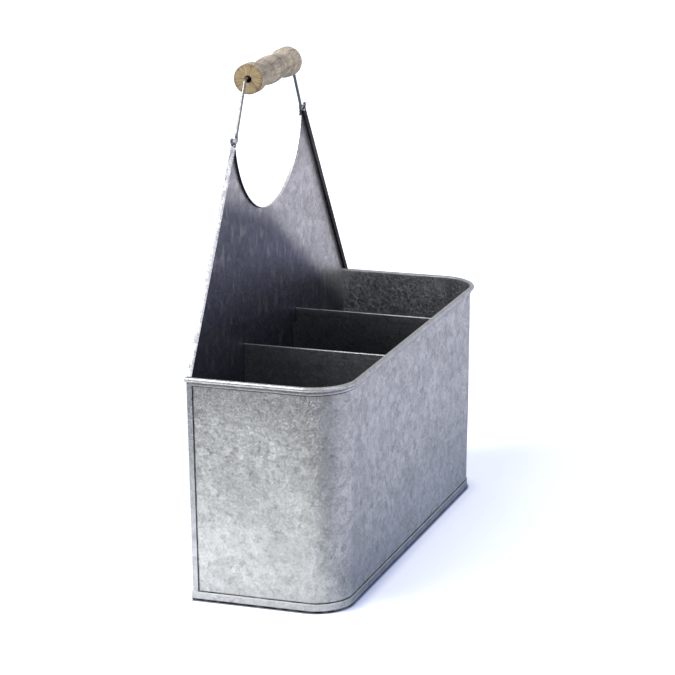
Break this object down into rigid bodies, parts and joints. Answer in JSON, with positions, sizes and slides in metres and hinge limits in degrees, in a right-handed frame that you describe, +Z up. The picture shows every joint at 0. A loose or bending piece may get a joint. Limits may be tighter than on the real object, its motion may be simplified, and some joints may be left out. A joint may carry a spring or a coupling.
{
  "type": "bottle caddy",
  "caption": "Galvanised sheet-metal bottle caddy: divided box with a wired rim, a horned back panel with a round cut-out, and a swinging wire bail with a turned wooden grip.",
  "frame": {"origin": "centre of the foot of the box (the base pan's outline), on the surface it stands on", "axes": "+X along the length of the box, +Y from the front wall to the back panel, +Z up"},
  "size_m": [0.3282, 0.1234, 0.357],
  "materials": {
    "galvanised_sheet": "hot-dip galvanised steel sheet, dull grey with a soft crystalline spangle",
    "steel_wire": "drawn zinc-plated steel wire, grey",
    "bare_wood": "bare turned wood, weathered grey-brown"
  },
  "bodies": {
    "caddy": {"body_wrap": "galvanised_sheet", "rim_wire": "steel_wire", "base_pan": "galvanised_sheet", "back_panel": "galvanised_sheet", "divider_left": "galvanised_sheet", "divider_right": "galvanised_sheet"},
    "bail": {"bail_wire": "steel_wire"},
    "grip": {"wood_grip": "bare_wood"}
  },
  "joints": [
    {"name": "bail_swing", "type": "hinge", "parent": "caddy", "child": "bail", "pos_m": [0, 0.05205, 0.3055], "axis": [1, 0, 0], "range_deg": [-105, 105]},
    {"name": "grip_spin", "type": "hinge", "parent": "bail", "child": "grip", "pos_m": [0, 0.05205, 0.34595], "axis": [1, 0, 0], "continuous": true}
  ]
}
